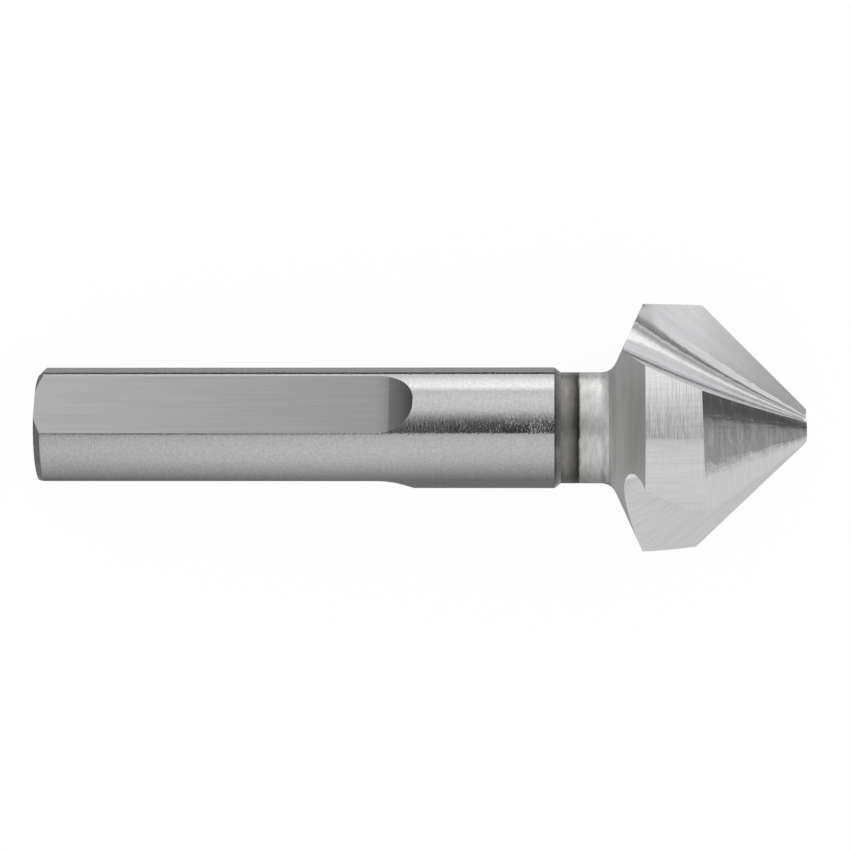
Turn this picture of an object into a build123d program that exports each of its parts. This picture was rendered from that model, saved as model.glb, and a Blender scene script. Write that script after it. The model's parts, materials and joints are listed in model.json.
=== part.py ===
from build123d import *
from build123d.topology import SkipClean
import os
from math import acos, asin, atan2, cos, degrees, radians, sin, tan

# Three-flute 90 degree countersink bit for right-hand cutting, ground from one bar of high-speed
# steel: a plain round shank with three jaw flats, a turned neck and a relief-ground head.
#
# The bit is drawn along its own axis, with the shank end at Z = 0 and the tip up, and is laid
# down at the end on the table plane Z = 0, tip to +X, where it rests on two teeth and its shank.
# A turn is an angle about the axis, counter-clockwise as seen from the tip, and a setback is a
# distance back from the tip. Lengths are in millimetres and angles in degrees.

# Overall
length = 63.5
head_diameter = 20.5            # across the rear edge of the land
shank_diameter = 10.0

# Head
point_angle = 90.0
tip_diameter = 3.2
land_length = 4.9
land_taper = 0.10               # how much smaller the land's radius is at its front edge
rear_cone_angle = 65.5          # from the axis
relief_tip = 0.3                # how far a tooth's cone falls away from cutting edge to heel
relief_land = 0.38              # the same, beside the land
relief_lead = 60.0              # turn from the cutting edge to the relief cone's offset
relief_overlap = 6.0            # how far each tooth's relief cut turns past a cutting edge

# Flutes: a rounded vee that grows with the depth of the core along the head
tooth_count = 3
flute_turn = -73.5              # first flute's middle line, from the upper side of the lying bit
flute_nose_radius = 3.15        # at the rear edge of the land
flute_core_rear = 5.92          # core radius at the rear edge of the land
flute_core_tip = 0.56           # core radius at the tip
flute_core_sag = 0.28           # how far the core line bows in, half way along
rake_lean = 19.5                # direction of the cutting face, from the flute's middle line
heel_lean = 78.0                # direction of the wall that ends in the next tooth's heel
flute_reach = 24.0              # length of the vee's walls, out past the head
flute_overrun = 3.5             # how far the flute is drawn behind the land
flute_lead_in = 1.0             # how far the flute is drawn ahead of the tip

# Neck
neck_diameter = 9.2
neck_length = 4.725             # from the shank to the back cone, shoulder included
neck_blend = 0.9                # reach of the curve into the back cone, each way from the corner
shoulder_length = 0.52

# Shank
end_chamfer = 0.6
flat_count = 3
flat_turn = -26.7               # first flat, from the upper side of the lying bit
flat_depth = 0.75
flat_length = 28.2
flat_runout_radius = 6.4

# Worked-out sizes
head_radius = head_diameter / 2
shank_radius = shank_diameter / 2
neck_radius = neck_diameter / 2
tip_radius = tip_diameter / 2
land_front_radius = head_radius - land_taper
cone_slope = tan(radians(point_angle / 2))
cone_length = (land_front_radius - tip_radius) / cone_slope
land_front_z = length - cone_length
land_rear_z = land_front_z - land_length
rear_cone_z = land_rear_z - (head_radius - neck_radius) / tan(radians(rear_cone_angle))
shank_length = rear_cone_z - neck_length
flat_distance = shank_radius - flat_depth
tooth_pitch = 360 / tooth_count


def core_radius(setback):
    """Radius of the solid core between the flutes: a straight line bowed in by a parabola."""
    share = setback / (cone_length + land_length)
    chord = flute_core_tip + (flute_core_rear - flute_core_tip) * share
    return chord - 4 * flute_core_sag * share * (1 - share)


def wall_turn(lean, nose_side, setback, radius):
    """Turn, from a flute's middle line, at which one of its two walls meets a radius."""
    scale = core_radius(setback) / flute_core_rear
    nose_distance = flute_core_rear + flute_nose_radius
    wall_distance = nose_distance * sin(radians(lean)) + nose_side * flute_nose_radius
    return lean - 90 + degrees(acos(scale * wall_distance / radius))


def around(radius, turn, z):
    """Point at a radius and turn about the axis."""
    return Vector(radius * cos(radians(turn)), radius * sin(radians(turn)), z)


edge_turn = wall_turn(rake_lean, 1, cone_length, land_front_radius)
heel_turn = wall_turn(heel_lean, -1, cone_length + land_length, head_radius)

# The turned blank, from the round stretch of the shank forwards
neck_corner = Vector(neck_radius, rear_cone_z)
rear_cone_rise = Vector(sin(radians(rear_cone_angle)), cos(radians(rear_cone_angle)))
with BuildPart() as blank:
    with BuildSketch(Plane.XZ):
        with BuildLine():
            blend = Bezier(
                neck_corner - Vector(0, neck_blend),
                neck_corner,
                neck_corner + rear_cone_rise * neck_blend,
            )
            Polyline(
                blend @ 1,
                (head_radius, land_rear_z),
                (land_front_radius, land_front_z),
                (tip_radius, length),
                (0, length),
                (0, flat_length),
                (shank_radius, flat_length),
                (shank_radius, shank_length),
                (neck_radius, shank_length + shoulder_length),
                blend @ 0,
            )
        make_face()
    revolve(axis=Axis.Z)

# The stretch of the shank behind that, before its jaw flats are ground
with BuildPart() as jaw_stretch:
    with BuildSketch():
        Circle(shank_radius)
    extrude(amount=flat_length)
    chamfer(jaw_stretch.edges().sort_by(Axis.Z)[0], end_chamfer)

# One flute, lofted from behind the land to ahead of the tip, with its middle line along +X
flute_rear = cone_length + land_length + flute_overrun
with BuildPart() as flute:
    for setback in (flute_rear, flute_rear / 2, -flute_lead_in):
        scale = core_radius(setback) / flute_core_rear
        nose_radius = flute_nose_radius * scale
        with BuildSketch(Plane.XY.offset(length - setback)):
            with BuildLine():
                nose = CenterArc(
                    (core_radius(setback) + nose_radius, 0),
                    nose_radius,
                    rake_lean - 90,
                    heel_lean - rake_lean - 180,
                )
                rake = PolarLine(nose @ 0, flute_reach * scale, rake_lean)
                heel = PolarLine(nose @ 1, flute_reach * scale, heel_lean)
                Line(rake @ 1, heel @ 1)
            make_face()
    loft()

# What relief grinding takes off one tooth: a sector of a ring about the cone, less an oblique
# cone that leans away from the heel. The sector starts and ends in the flutes, just past a
# cutting edge.
relief_margin = tip_radius / 2
relief_start = edge_turn + relief_overlap
offset_turn = tooth_pitch + edge_turn - relief_start + relief_lead
with BuildPart() as relief_cut:
    with BuildSketch(Plane.XZ):
        with Locations((0, land_front_z - relief_margin)):
            Rectangle(
                head_radius + relief_margin,
                cone_length + 2 * relief_margin,
                align=Align.MIN,
            )
    revolve(axis=Axis.Z, revolution_arc=tooth_pitch)
    for setback in (cone_length + relief_margin, -relief_margin):
        relief = relief_tip + (relief_land - relief_tip) * setback / cone_length
        with BuildSketch(Plane.XY.offset(length - setback)):
            with Locations(around(relief, offset_turn, 0)):
                Circle(tip_radius + setback * cone_slope - relief / 2)
    loft(mode=Mode.SUBTRACT)

# One jaw flat, which the grinding wheel leaves in an arc
with BuildPart() as jaw_flat:
    with BuildSketch(Plane.XZ):
        with BuildLine():
            floor = Line((flat_distance, -end_chamfer), (flat_distance, flat_length))
            runout = CenterArc(
                (flat_distance + flat_runout_radius, flat_length), flat_runout_radius, 180, -90
            )
            Polyline(
                runout @ 1,
                (flat_distance + flat_runout_radius, -end_chamfer),
                floor @ 0,
            )
        make_face()
    extrude(amount=shank_radius, both=True)

# The lying bit touches the table with the cutting corner of one tooth, the rear corner of the
# next tooth's heel, and the rim of the shank end. Which point of the rim touches depends on the
# way the bit leans, and a few rounds settle both.
settling_rounds = 4
lower_flute_turn = flute_turn + 2 * tooth_pitch
cutting_corner = around(land_front_radius, lower_flute_turn + edge_turn, land_front_z)
heel_corner = around(head_radius, lower_flute_turn + heel_turn, land_rear_z)
up_turn = 0.0
for _ in range(settling_rounds):
    rim = around(shank_radius, up_turn + 180, end_chamfer)
    up = (cutting_corner - heel_corner).cross(cutting_corner - rim).normalized()
    up_turn = degrees(atan2(up.Y, up.X))
tilt = degrees(asin(up.Z))
tip_reach = length * cos(radians(tilt)) + tip_radius * sin(radians(tilt))
shank_reach = (shank_radius - end_chamfer) * sin(radians(tilt))
resting_place = Location(
    ((shank_reach - tip_reach) / 2, 0, -up.dot(heel_corner)), (0, 90 - tilt, 180 - up_turn)
)

# The finished bit. The arcs between the flats are left as faces of their own, apart from the
# full circle ahead of them, so that each can be measured and gripped by itself.
with BuildPart(Plane(resting_place)) as countersink_bit:
    add(blank.part)
    with PolarLocations(0, tooth_count, flute_turn + relief_start):
        add(relief_cut.part, mode=Mode.SUBTRACT)
    with PolarLocations(0, tooth_count, flute_turn):
        add(flute.part, mode=Mode.SUBTRACT)
    with SkipClean():
        add(jaw_stretch.part)
        with PolarLocations(0, flat_count, flat_turn):
            add(jaw_flat.part, mode=Mode.SUBTRACT)

os.makedirs("parts", exist_ok=True)
countersink_bit.part.label = "countersink_bit"
export_step(countersink_bit.part, "parts/countersink_bit.step")
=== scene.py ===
import bpy
import json
import math
from mathutils import Matrix, Vector

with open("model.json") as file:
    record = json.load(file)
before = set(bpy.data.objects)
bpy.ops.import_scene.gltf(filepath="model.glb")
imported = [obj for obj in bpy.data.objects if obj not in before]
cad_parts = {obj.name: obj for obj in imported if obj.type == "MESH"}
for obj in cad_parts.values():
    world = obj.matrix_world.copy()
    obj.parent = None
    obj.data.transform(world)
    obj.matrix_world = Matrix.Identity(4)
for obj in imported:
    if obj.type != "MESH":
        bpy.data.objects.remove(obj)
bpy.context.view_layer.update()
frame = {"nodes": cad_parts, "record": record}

# Shank: the round end of the bit, which a drill chuck grips. The whole bit is one bar of hardened
# high-speed steel, so it is one piece whose finish changes from face to face. This finish goes
# over all of it first, and each section below then covers its own faces.
bit = frame["nodes"]["countersink_bit"]
bit.data.materials.clear()

# The bit's own axes, in which places are given in millimetres. The shank end is at 0, Z runs to
# the tip, and X is the side that lies up, from which turns about the axis are counted.
mm = 0.001
flat_turn = math.radians(-26.7)
mounts = {mount["name"]: mount for mount in frame["record"]["mounts"]}
shank_end = Vector(mounts["shank_end"]["pos_m"])
bit_z = -Vector(mounts["shank_end"]["axis"]).normalized()
upper_flat = Vector(mounts["upper_flat"]["axis"]).normalized()
bit_x = Matrix.Rotation(-flat_turn, 3, bit_z) @ upper_flat
bit_y = bit_z.cross(bit_x)
bit_turn = Matrix((bit_x, bit_y, bit_z)).transposed()


def linear(hex_colour):
    """Linear RGBA from an sRGB hex colour."""
    channels = [int(hex_colour[i:i + 2], 16) / 255 for i in (0, 2, 4)]
    return [c / 12.92 if c <= 0.04045 else ((c + 0.055) / 1.055) ** 2.4 for c in channels] + [1.0]


def add_node(tree, kind, settings=None, stops=(), **inputs):
    """Adds a node with its settings and a ramp's stops. Inputs go by name or, as i0, by number."""
    node = tree.nodes.new(kind)
    for name, value in (settings or {}).items():
        setattr(node, name, value)
    for i, (place, colour) in enumerate(stops):
        spots = node.color_ramp.elements
        if i == 0:
            spots.remove(spots[1])
        spot = spots.new(place) if i else spots[0]
        spot.position = place
        spot.color = colour
    for name, value in inputs.items():
        key = int(name[1:]) if name[1:].isdigit() else name.replace("_", " ")
        if isinstance(value, bpy.types.NodeSocket):
            tree.links.new(value, node.inputs[key])
        else:
            node.inputs[key].default_value = value
    return node


def new_steel(name, roughness):
    """A bare steel, its node tree, and the place on the bit in mm along the bit's own axes."""
    steel = bpy.data.materials.new(name)
    steel.use_nodes = True
    tree = steel.node_tree
    shader = tree.nodes["Principled BSDF"]
    shader.inputs["Metallic"].default_value = 1.0
    shader.inputs["Roughness"].default_value = roughness
    place = add_node(
        tree, "ShaderNodeMapping", {"vector_type": "TEXTURE"},
        Vector=add_node(tree, "ShaderNodeTexCoord").outputs["Object"],
        Location=shank_end, Rotation=bit_turn.to_euler(), Scale=(mm, mm, mm),
    )
    return steel, tree, place.outputs["Vector"]


def marks(tree, place, per_mm, detail=3.0, roughness=0.6):
    """Noise drawn out into grinding marks, with so many to the millimetre along each axis."""
    drawn = add_node(tree, "ShaderNodeVectorMath", {"operation": "MULTIPLY"}, i0=place, i1=per_mm)
    noise = add_node(
        tree, "ShaderNodeTexNoise",
        Vector=drawn.outputs[0], Scale=1.0, Detail=detail, Roughness=roughness,
    )
    return noise.outputs["Fac"]


def tint(tree, pattern, darkest, lightest, shade=None):
    """Colour between two hex colours that follows a pattern, times a shade if there is one."""
    usual_low, usual_high = 0.3, 0.7
    share = add_node(
        tree, "ShaderNodeMapRange", Value=pattern, From_Min=usual_low, From_Max=usual_high,
    )
    colour = add_node(
        tree, "ShaderNodeMix", {"data_type": "RGBA"},
        i0=share.outputs[0], i6=linear(darkest), i7=linear(lightest),
    )
    if shade is not None:
        colour = add_node(
            tree, "ShaderNodeMix", {"data_type": "RGBA", "blend_type": "MULTIPLY"},
            i0=1.0, i6=colour.outputs[2], i7=shade,
        )
    return colour.outputs[2]


def round_normal(tree, place, degrees):
    """Normal of a face that is perfectly round about the axis and leans this much to the tip."""
    lean = math.radians(degrees)
    out = add_node(tree, "ShaderNodeVectorMath", {"operation": "MULTIPLY"}, i0=place, i1=(1, 1, 0))
    out = add_node(tree, "ShaderNodeVectorMath", {"operation": "NORMALIZE"}, i0=out.outputs[0])
    out = add_node(
        tree, "ShaderNodeVectorMath", {"operation": "MULTIPLY_ADD"},
        i0=out.outputs[0], i1=(math.cos(lean),) * 3, i2=(0, 0, math.sin(lean)),
    )
    turned = add_node(
        tree, "ShaderNodeMapping", {"vector_type": "VECTOR"},
        Vector=out.outputs[0], Rotation=bit_turn.to_euler(),
    )
    return turned.outputs["Vector"]


def finish(steel, colour, normal, belongs):
    """Gives a steel its colour and normal, and to the faces that belong to it by their place and
    facing along the bit's own axes."""
    shader = steel.node_tree.nodes["Principled BSDF"]
    steel.node_tree.links.new(colour, shader.inputs["Base Color"])
    steel.node_tree.links.new(normal, shader.inputs["Normal"])
    slot = len(bit.data.materials)
    bit.data.materials.append(steel)
    to_bit = bit_turn.transposed()
    for face in bit.data.polygons:
        place = to_bit @ (face.center - shank_end) / mm
        if belongs(place, to_bit @ face.normal):
            face.material_index = slot


# Centreless-ground steel: bright, with sharp reflections along the shank that break into
# sparkling grains at their edges. The real marks are about 0.01 mm apart, too fine to show. They
# are drawn as rings 0.12 mm apart and grains of 0.2 mm, which come in clumps of a millimetre.
steel, tree, place = new_steel("centreless_ground_steel", 0.08)
rings = marks(tree, place, (0.8, 0.8, 8.0), detail=1.0)
grain = marks(tree, place, (4.0, 4.0, 5.5), detail=1.0, roughness=0.7)
clumps = marks(tree, place, (0.9, 0.9, 0.9), detail=2.0)
clumps = add_node(
    tree, "ShaderNodeMapRange",
    Value=clumps, From_Min=0.38, From_Max=0.62, To_Min=0.35, To_Max=1.0,
)
normal = add_node(
    tree, "ShaderNodeBump",
    Distance=1.5e-6, Height=rings, Normal=round_normal(tree, place, 0),
)
normal = add_node(
    tree, "ShaderNodeBump",
    Distance=7.0e-6, Height=grain, Strength=clumps.outputs[0], Normal=normal.outputs[0],
)
finish(steel, tint(tree, grain, "c2c2c3", "d2d2d3"), normal.outputs[0], lambda place, facing: True)

# Jaw flats: three flats along the shank, for the jaws of a three-jaw chuck. A wheel grinds them
# into the hardened bar along its length, and leaves each in a short arc towards the neck.
flat_count = 3
flat_length = 28.2
arc_end = 31.4
round_from = 4.985              # a face whose middle is nearer the axis isn't on the round shank


def follow(tree, value, low, high, stops):
    """Colour or grey level that follows a value between low and high, from stop to stop."""
    share = add_node(tree, "ShaderNodeMapRange", Value=value, From_Min=low, From_Max=high)
    spots = [
        (
            (at - low) / (high - low),
            linear(level) if isinstance(level, str) else (level, level, level, 1.0),
        )
        for at, level in stops
    ]
    return add_node(tree, "ShaderNodeValToRGB", stops=spots, Fac=share.outputs[0]).outputs[0]


# Surface-ground steel: satin, with straight lines along it. Its colour darkens towards the neck,
# a painted shade of the reflection that dims along the flat, and is darker still in its arc. The
# lines are drawn 0.15 mm apart, wider than the real ones.
steel, tree, place = new_steel("surface_ground_steel", 0.3)
lines = marks(tree, place, (7.0, 7.0, 0.12))
along = add_node(tree, "ShaderNodeSeparateXYZ", Vector=place)
# Painted shade: darker along the flat towards the neck, where its reflection dims, and darker still
# in the arc
painted_shade_and_dark_arc = follow(tree, along.outputs["Z"], 0, 32, (
    (0, 1.0), (28, 0.68), (29.15, 0.66), (29.25, 0.43), (30.1, 0.36), (31.2, 0.15),
))
normal = add_node(tree, "ShaderNodeBump", Distance=2.0e-6, Height=lines)


def on_flat(place, facing):
    """Whether a face looks out square to one of the flats and lies within the round shank."""
    pitch = 2 * math.pi / flat_count
    turn = math.atan2(facing.y, facing.x) - flat_turn
    off_middle = (turn + pitch / 2) % pitch - pitch / 2
    inside = place.z < arc_end and math.hypot(place.x, place.y) < round_from
    in_floor = abs(facing.z) < 0.001
    in_arc = place.z > flat_length - 0.1 and facing.z < 0
    return inside and abs(off_middle) < 0.02 and (in_floor or in_arc)


finish(steel, tint(tree, lines, "bebebe", "cacaca", painted_shade_and_dark_arc), normal.outputs[0], on_flat)

# Shank end: the bar's cut end and its chamfer. It is faced in a lathe before the steel is
# hardened, and nothing grinds it afterwards, so it keeps the grey skin of the heat treatment.
chamfer = 0.6

# Turned and hardened steel: dull dark grey, with the lathe tool's rings. They are drawn 0.15 mm
# apart, and the skin is cloudy over a millimetre or two.
steel, tree, place = new_steel("turned_hardened_steel", 0.45)
out = add_node(tree, "ShaderNodeVectorMath", {"operation": "MULTIPLY"}, i0=place, i1=(1, 1, 0))
out = add_node(tree, "ShaderNodeVectorMath", {"operation": "LENGTH"}, i0=out.outputs[0])
radius = add_node(tree, "ShaderNodeCombineXYZ", X=out.outputs["Value"])
rings = marks(tree, radius.outputs[0], (6.5, 1.0, 1.0))
cloud = marks(tree, place, (1.0, 1.0, 1.0), detail=5.0)
cloudy = add_node(tree, "ShaderNodeMath", {"operation": "ADD"}, i0=rings, i1=cloud)
cloudy = add_node(tree, "ShaderNodeMath", {"operation": "MULTIPLY"}, i0=cloudy.outputs[0], i1=0.5)
normal = add_node(tree, "ShaderNodeBump", Distance=3.0e-6, Height=rings)
finish(
    steel, tint(tree, cloudy.outputs[0], "66666a", "8c8c8a"), normal.outputs[0],
    lambda place, facing: place.z < chamfer and facing.z < -0.5,
)

# Neck: turned a little thinner than the shank, behind the head. It is left as the lathe cut it,
# and tempering after the head is ground leaves a dark band of oxide next to the shank.
shank_length = 42.75
neck_front = 47.2
oxide_wander = 0.35

# Tempered steel: a soft grey gleam with faint turned rings, and the oxide band in greys down to
# near black, its edge wandering by 0.2 mm. The rings are drawn 0.12 mm apart, and the oxide's
# mottling is about a millimetre long round the neck and 0.3 mm along it.
steel, tree, place = new_steel("tempered_turned_steel", 0.3)
rings = marks(tree, place, (0.4, 0.4, 8.0))
cloud = marks(tree, place, (0.7, 0.7, 2.4), detail=5.0)
along = add_node(tree, "ShaderNodeSeparateXYZ", Vector=place)
wander = add_node(
    tree, "ShaderNodeMath", {"operation": "MULTIPLY_ADD"},
    i0=cloud, i1=oxide_wander, i2=along.outputs["Z"],
)
temper = follow(tree, wander.outputs[0], 42.7, 47.5, (
    (42.9, "4c4b49"), (43.1, "757370"), (43.4, "8f8e8b"), (43.9, "9c9b98"), (44.4, "7a7874"),
    (44.75, "4b4946"), (44.9, "3a3836"), (45.07, "dededc"), (46.5, "f0f0ef"), (47.5, "e4e4e3"),
))
mottling = marks(tree, place, (0.9, 0.9, 3.5), detail=5.0, roughness=0.7)
normal = add_node(tree, "ShaderNodeBump", Distance=2.0e-6, Height=rings)
finish(
    steel, tint(tree, mottling, "dadada", "ffffff", temper), normal.outputs[0],
    lambda place, facing: shank_length < place.z < neck_front,
)

# Back cone: the slope from the neck out to the head's rim, with the rounded corner at its foot.
# It is turned with the neck, before the flutes are cut, and clears the hole when the bit is in.
land_rear = 50.05

# Turned steel: an even matt grey with faint rings round it, drawn 0.07 mm apart.
steel, tree, place = new_steel("turned_steel", 0.4)
rings = marks(tree, place, (0.2, 0.2, 14.0))
normal = add_node(tree, "ShaderNodeBump", Distance=2.0e-6, Height=rings)
finish(
    steel, tint(tree, rings, "a8a8a7", "b8b8b7"), normal.outputs[0],
    lambda place, facing: neck_front < place.z < land_rear and facing.z < -0.02,
)

# Flutes: three rounded vees along the head, each with a cutting face, a gullet and the wall
# behind the next tooth. A wheel dressed to their shape grinds each in one pass along the head.
flute_start = 47.9
flute_apex = 64.9               # where the lines along the flutes would meet
flute_reach = 14.0              # how far behind that they are drawn at their full spacing


def draw_together(tree, place, apex, reach):
    """Place whose marks close in on an apex on the axis, and are full spaced that far behind."""
    along = add_node(tree, "ShaderNodeSeparateXYZ", Vector=place)
    gap = add_node(
        tree, "ShaderNodeMath", {"operation": "SUBTRACT"}, i0=apex, i1=along.outputs["Z"],
    )
    share = add_node(tree, "ShaderNodeMath", {"operation": "DIVIDE"}, i0=gap.outputs[0], i1=reach)
    width = add_node(
        tree, "ShaderNodeCombineXYZ", X=share.outputs[0], Y=share.outputs[0], Z=1.0,
    )
    return add_node(
        tree, "ShaderNodeVectorMath", {"operation": "DIVIDE"}, i0=place, i1=width.outputs[0],
    ).outputs[0]


def new_flute_steel(name):
    """A steel with lines that run up the flute, and the normal that they give it."""
    steel, tree, place = new_steel(name, 0.16)
    lines = marks(tree, draw_together(tree, place, flute_apex, flute_reach), (5.0, 5.0, 0.12))
    normal = add_node(tree, "ShaderNodeBump", Distance=4.0e-6, Height=lines)
    return steel, tree, place, lines, normal.outputs[0]


def outward(place, facing):
    """How far a face looks straight away from the axis, from -1 to 1."""
    return (place.x * facing.x + place.y * facing.y) / max(math.hypot(place.x, place.y), 1e-6)


def in_flute(place, facing):
    """Whether a face is ahead of the back cone, or is cut into it and looks another way."""
    on_back_cone = facing.z < -0.84 and outward(place, facing) > 0.3
    return place.z > land_rear or (place.z > flute_start and not on_back_cone)


# Form-ground steel: bright, with long lines that run up the flute and close in towards the tip.
# They are drawn 0.2 mm apart at the rim, coarser than the real ones.
steel, tree, place, lines, normal = new_flute_steel("form_ground_steel")
finish(steel, tint(tree, lines, "dcdcdd", "eaeaeb"), normal, in_flute)

# Far cutting face: the flat wall of the far flute that ends in a tooth's edge, where the chip
# slides off. The flank of the same wheel grinds it.
face_turn = math.radians(36.0)


def on_far_face(place, facing):
    """Whether a face is on the flute's wall, on the far side, and looks the way the wall does."""
    off_wall = math.atan2(facing.y, facing.x) - face_turn
    return in_flute(place, facing) and place.y < 0 and abs(off_wall) < 0.1


# Flank-ground steel: bright at the rim and greyer towards the tip, a painted shade where the
# flute narrows, with the flute's long lines 0.2 mm apart at the rim.
steel, tree, place, lines, normal = new_flute_steel("flank_ground_steel")
along = add_node(tree, "ShaderNodeSeparateXYZ", Vector=place)
# Painted shade: the colour darkens towards the tip, where the flute narrows
painted_narrow_flute_shade = follow(tree, along.outputs["Z"], 50, 64, (
    (50, 1.0), (54, 0.97), (56.6, 0.82), (59.5, 0.64), (62, 0.56),
))
finish(steel, tint(tree, lines, "dcdcdd", "eaeaeb", painted_narrow_flute_shade), normal, on_far_face)

# Land: the narrow round band at the head's rim, behind the teeth. It is ground round the axis,
# a touch smaller at its front, and steadies the bit in the hole.
land_front = 54.95
land_inner = 10.05              # less than the land's smallest radius
land_lean = 1.2

# Cylindrically ground steel: the brightest finish, with fine rings that sparkle as stripes and
# faint lines along it. The rings are drawn 0.17 mm apart and the lines 0.25 mm.
steel, tree, place = new_steel("cylindrically_ground_steel", 0.1)
rings = marks(tree, place, (0.12, 0.12, 6.0))
lines = marks(tree, place, (4.0, 4.0, 0.3))
normal = add_node(
    tree, "ShaderNodeBump",
    Distance=8.0e-6, Height=rings, Normal=round_normal(tree, place, land_lean),
)
finish(
    steel, tint(tree, lines, "e0e0e1", "eaeaeb"), normal.outputs[0],
    lambda place, facing: land_rear < place.z < land_front
    and math.hypot(place.x, place.y) > land_inner and outward(place, facing) > 0.99,
)

# Teeth: the three cones behind the cutting edges. A wheel that swings in towards the axis as the
# bit turns grinds each with relief, so that only the edge touches the work.
cone_apex = 65.1                # where the cones would meet, ahead of the blunt tip
streak_reach = 10.0

# Relief-ground steel: bright and a little uneven, with fine arcs round the axis, streaks that run
# to the tip, and waves and soft smudges where the wheel chattered. The arcs are drawn 0.15 mm
# apart, the streaks 0.6 mm, the waves 1 mm, and the smudges 4 mm round and 1 mm along.
steel, tree, place = new_steel("relief_ground_steel", 0.14)
arcs = marks(tree, place, (0.3, 0.3, 7.0))
waves = marks(tree, place, (0.9, 0.9, 0.9), detail=4.0)
to_tip = draw_together(tree, place, cone_apex, streak_reach)
streaks = marks(tree, to_tip, (1.6, 1.6, 0.3), detail=1.0)
smudges = marks(tree, place, (0.25, 0.25, 0.9), detail=2.0)
normal = add_node(tree, "ShaderNodeBump", Distance=2.5e-6, Height=arcs)
for height, distance in ((waves, 2.4e-5), (streaks, 1.0e-5), (smudges, 3.0e-5)):
    normal = add_node(
        tree, "ShaderNodeBump", Distance=distance, Height=height, Normal=normal.outputs[0],
    )
finish(
    steel, tint(tree, arcs, "e0e0e1", "e8e8e9"), normal.outputs[0],
    lambda place, facing: place.z > land_front and facing.z > 0.6 and outward(place, facing) > 0.55,
)

# Floor: a broad sheet of white paper that the bit lies on. It keeps the bit's soft shadow, and
# the bare steel mirrors the studio's panels through it.
floor_size = 4.0
bpy.ops.mesh.primitive_plane_add(size=floor_size)
floor = bpy.context.object
floor.name = "floor"

# Matt white paper: an even white from any side. Most of what the camera sees of it is its own
# white, so that it stays clean, and the rest is matt, so that it takes the shadow.
own_white = 0.95
paper = bpy.data.materials.new("white_paper")
paper.use_nodes = True
floor.data.materials.append(paper)
tree = paper.node_tree
path = add_node(tree, "ShaderNodeLightPath")
matt = add_node(tree, "ShaderNodeBsdfDiffuse", Color=linear("f4f4f4"))
white = add_node(tree, "ShaderNodeEmission", Color=linear("ffffff"), Strength=1.0)
clear = add_node(tree, "ShaderNodeBsdfTransparent")
share = add_node(
    tree, "ShaderNodeMath", {"operation": "MULTIPLY"},
    i0=path.outputs["Is Camera Ray"], i1=own_white,
)
sheet = add_node(
    tree, "ShaderNodeMixShader", i0=share.outputs[0], i1=matt.outputs[0], i2=white.outputs[0],
)
sheet = add_node(
    tree, "ShaderNodeMixShader",
    i0=path.outputs["Is Glossy Ray"], i1=sheet.outputs[0], i2=clear.outputs[0],
)
tree.links.new(sheet.outputs[0], tree.nodes["Material Output"].inputs["Surface"])

# Studio: a white tent round the bit, with paler and darker panels that only its polished steel
# shows. Each ring of panels is at one lean towards the tip, from -1 straight behind the bit to 1
# straight ahead, and gives levels by turn, from 0 above the bit to 90 degrees on its far side.
world = bpy.data.worlds.new("studio")
bpy.context.scene.world = world
world.use_nodes = True
tree = world.node_tree
way = add_node(
    tree, "ShaderNodeMapping", {"vector_type": "TEXTURE"},
    Vector=add_node(tree, "ShaderNodeTexCoord").outputs["Generated"],
    Rotation=bit_turn.to_euler(),
)
way = add_node(tree, "ShaderNodeSeparateXYZ", Vector=way.outputs["Vector"])
far = add_node(tree, "ShaderNodeMath", {"operation": "MULTIPLY"}, i0=way.outputs["Y"], i1=-1.0)
turn = add_node(
    tree, "ShaderNodeMath", {"operation": "ARCTAN2"}, i0=far.outputs[0], i1=way.outputs["X"],
)
turn = add_node(tree, "ShaderNodeMath", {"operation": "DEGREES"}, i0=turn.outputs[0])
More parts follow.
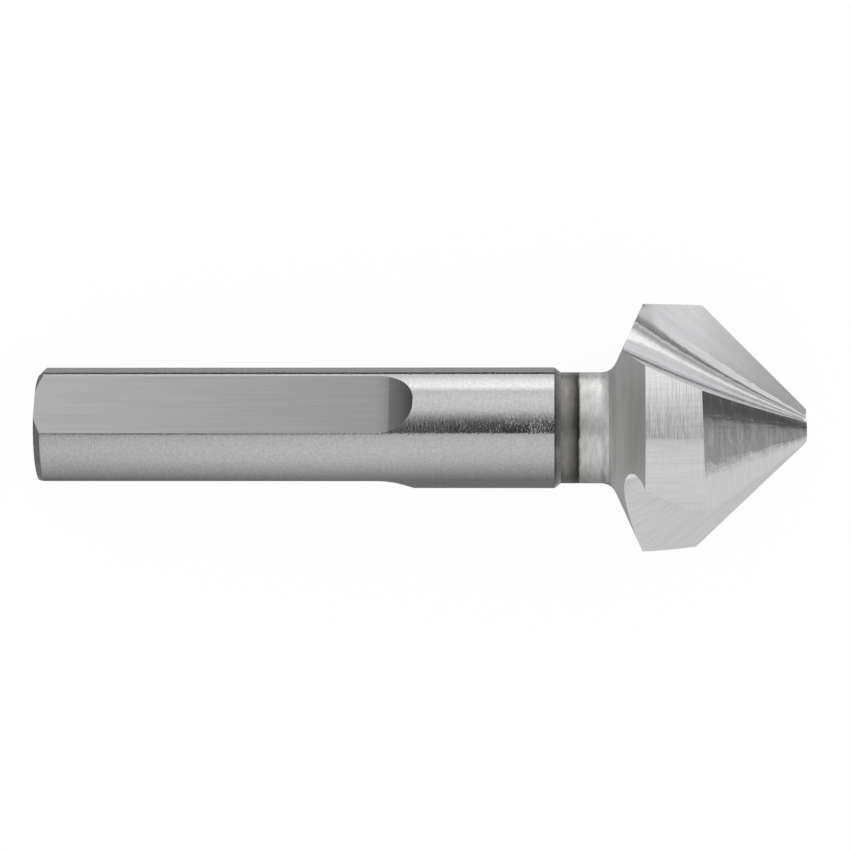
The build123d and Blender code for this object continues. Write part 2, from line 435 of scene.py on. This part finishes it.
panel_rings = (
    (-0.54, (
        (-180, 0.65), (-155, 0.72), (-137, 0.5), (-100, 0.7), (-78, 0.78), (-50, 0.74),
        (-23, 0.72), (0, 0.6), (60, 0.6), (125, 0.5), (150, 0.52), (180, 0.65),
    )),
    (-0.45, (
        (-180, 0.65), (-155, 0.72), (-137, 0.5), (-100, 0.55), (-80, 0.45), (-46, 0.38),
        (-37, 0.68), (-20, 0.68), (0, 0.6), (60, 0.6), (125, 0.5), (150, 0.52), (180, 0.65),
    )),
    (-0.38, (
        (-180, 0.65), (-155, 0.72), (-137, 0.5), (-100, 0.55), (-80, 0.45), (-46, 0.5),
        (-37, 0.7), (-20, 0.7), (0, 0.6), (60, 0.6), (125, 0.5), (150, 0.52), (180, 0.65),
    )),
    (-0.22, (
        (-180, 0.4), (-119, 0.3), (-91, 0.5), (-40, 0.5), (-30, 0.33), (-8, 0.33), (6, 0.4),
        (20, 0.6), (60, 0.7), (125, 0.5), (180, 0.4),
    )),
    (-0.15, (
        (-180, 0.15), (-119, 0.17), (-105, 0.33), (-91, 0.44), (-66, 0.61), (-45, 0.68),
        (-25, 0.66), (-14, 0.56), (-13, 0.25), (-6, 0.3), (6, 0.4), (20, 0.6), (40, 0.8),
        (80, 0.84), (100, 0.9), (124.5, 0.8), (125.5, 0.1), (131.5, 0.1), (134, 0.44), (180, 0.3),
    )),
    (-0.075, (
        (-180, 0.2), (-119, 0.26), (-105, 0.36), (-91, 0.49), (-66, 0.7), (-45, 0.77),
        (-25, 0.72), (-14, 0.62), (-13, 0.2), (-4, 0.25), (12, 0.4), (23, 0.6), (34, 0.78),
        (80, 0.84), (100, 0.95), (124.5, 0.95), (125.5, 0.04), (131.5, 0.04), (134, 0.44),
        (180, 0.3),
    )),
    (-0.06, (
        (-180, 0.2), (-119, 0.26), (-105, 0.36), (-91, 0.49), (-66, 0.7), (-45, 0.77),
        (-25, 0.72), (-11, 0.62), (-10, 0.18), (-4, 0.22), (12, 0.36), (23, 0.6), (34, 0.86),
        (54, 0.9), (74, 0.84), (86, 1.34), (97, 1.26), (105, 1.16), (115, 0.92), (124.5, 0.95),
        (125.5, 0.04), (131.5, 0.04), (134, 0.44), (180, 0.3),
    )),
    (-0.02, (
        (-180, 0.2), (-119, 0.23), (-105, 0.32), (-91, 0.43), (-66, 0.64), (-45, 0.75),
        (-25, 0.74), (-11, 0.64), (-10, 0.02), (3, 0.02), (12, 0.1), (23, 0.38), (34, 0.8),
        (54, 0.95), (74, 0.86), (86, 1.5), (97, 1.37), (105, 1.2), (115, 0.95), (124.5, 0.95),
        (125.5, 0.03), (131.5, 0.03), (134, 0.44), (180, 0.3),
    )),
    (0.008, (
        (-180, 0.2), (-119, 0.23), (-105, 0.32), (-91, 0.43), (-66, 0.64), (-45, 0.75),
        (-25, 0.74), (-11, 0.64), (-10, 0.01), (3, 0.01), (12, 0.08), (23, 0.36), (34, 0.8),
        (54, 0.95), (74, 0.86), (86, 1.5), (97, 1.37), (105, 1.2), (115, 0.95), (124.5, 0.95),
        (125.5, 0.03), (131.5, 0.03), (134, 0.44), (180, 0.3),
    )),
    (0.035, (
        (-180, 0.2), (-119, 0.3), (-91, 0.6), (-80, 0.7), (-60, 0.76), (-23, 0.76), (-11, 0.71),
        (-10, 0.59), (6, 0.76), (16, 0.83), (25, 0.9), (36, 0.96), (76, 0.98), (90, 1.2),
        (115, 0.9), (130, 0.75), (180, 0.75),
    )),
    (0.085, (
        (-180, 0.4), (-119, 0.5), (-91, 0.68), (-60, 0.76), (-23, 0.76), (-11, 0.71),
        (-10, 0.61), (6, 0.76), (16, 0.83), (25, 0.9), (36, 0.96), (76, 0.98), (90, 1.2),
        (115, 0.9), (130, 0.75), (180, 0.75),
    )),
    (0.14, (
        (-180, 0.5), (-150, 0.6), (-100, 0.7), (-60, 0.7), (-15, 0.6), (0, 0.36), (36, 0.36),
        (48, 0.7), (60, 0.95), (90, 1.05), (120, 0.8), (150, 0.65), (180, 0.5),
    )),
    (0.25, (
        (-180, 0.55), (-150, 0.68), (-100, 0.7), (-60, 0.7), (-15, 0.6), (0, 0.4), (36, 0.46),
        (48, 0.8), (60, 1.0), (90, 1.05), (120, 0.8), (150, 0.68), (180, 0.55),
    )),
    (0.42, (
        (-180, 0.5), (-124, 0.66), (-101, 0.72), (-80, 0.67), (-40, 0.7), (0, 0.8), (37, 0.95),
        (61, 1.2), (90, 1.1), (100, 0.96), (120, 0.85), (144, 0.7), (180, 0.6),
    )),
)
level = follow(tree, turn.outputs[0], -180, 180, panel_rings[0][1])
for (start, _), (end, panels) in zip(panel_rings, panel_rings[1:]):
    share = add_node(
        tree, "ShaderNodeMapRange", Value=way.outputs["Z"], From_Min=start, From_Max=end,
    )
    level = add_node(
        tree, "ShaderNodeMix", {"data_type": "FLOAT"},
        i0=share.outputs[0], i2=level, i3=follow(tree, turn.outputs[0], -180, 180, panels),
    ).outputs[0]

# Straight ahead of the bit the panels stand in rows instead, with levels from its near side, -1,
# to its far side, 1, and are lifted from below the bit to above it
rows_from, rows_only = 0.66, 0.76
rows = follow(tree, far.outputs[0], -1, 1, (
    (-1, 0.73), (-0.34, 0.73), (-0.24, 0.3), (0.08, 0.2), (0.14, 0.08), (0.3, 0.08),
    (0.45, 0.7), (1, 1.0),
))
lift = follow(tree, way.outputs["X"], -1, 1, (
    (-1, 1.0), (-0.14, 1.0), (-0.06, 1.2), (-0.03, 1.4), (0.04, 2.0),
))
rows = add_node(tree, "ShaderNodeMath", {"operation": "MULTIPLY"}, i0=rows, i1=lift)
share = add_node(
    tree, "ShaderNodeMapRange", Value=way.outputs["Z"], From_Min=rows_from, From_Max=rows_only,
)
level = add_node(
    tree, "ShaderNodeMix", {"data_type": "FLOAT"},
    i0=share.outputs[0], i2=level, i3=rows.outputs[0],
)

# A flute that mirrors its own other wall stays bright, and matt things get plain white light
one_mirror = 1.5                # between the depths of the first and second mirrored rays
own_wall_share, own_wall_level = 0.8, 1.15
path = add_node(tree, "ShaderNodeLightPath")
again = add_node(
    tree, "ShaderNodeMath", {"operation": "GREATER_THAN"},
    i0=path.outputs["Glossy Depth"], i1=one_mirror,
)
again = add_node(
    tree, "ShaderNodeMath", {"operation": "MULTIPLY"}, i0=again.outputs[0], i1=own_wall_share,
)
level = add_node(
    tree, "ShaderNodeMix", {"data_type": "FLOAT"},
    i0=again.outputs[0], i2=level.outputs[0], i3=own_wall_level,
)
level = add_node(
    tree, "ShaderNodeMix", {"data_type": "FLOAT"},
    i0=path.outputs["Is Glossy Ray"], i2=1.0, i3=level.outputs[0],
)
background = tree.nodes["Background"]
background.inputs["Color"].default_value = linear("ffffff")
tree.links.new(level.outputs[0], background.inputs["Strength"])

# Camera: a long lens 0.3 m above the bit, turned so that the bit lies level in the picture with
# its shank to the left. It stands over the neck and looks a little back, at the bit's middle.
height = 298.4
across = -0.23
stands_over = 43.1
looks_at = 32.03
sensor_width = 36.0
picture_width = 850             # in pixels
lens_pixels = 3602


def on_bit(x, y, z):
    """Point in metres from a place in millimetres along the bit's own axes."""
    return shank_end + bit_turn @ Vector((x, y, z)) * mm


camera_data = bpy.data.cameras.new("camera")
camera = bpy.data.objects.new("camera", camera_data)
bpy.context.scene.collection.objects.link(camera)
camera_place = on_bit(height, across, stands_over)
back = (camera_place - on_bit(0, across, looks_at)).normalized()
right = (-bit_y).cross(back).normalized()
turned = Matrix((right, back.cross(right), back)).transposed().to_4x4()
camera.matrix_world = Matrix.Translation(camera_place) @ turned
camera_data.sensor_width = sensor_width
camera_data.lens = sensor_width * lens_pixels / picture_width
camera_data.clip_start = 0.01
bpy.context.scene.camera = camera
bpy.context.scene.view_settings.view_transform = "Standard"
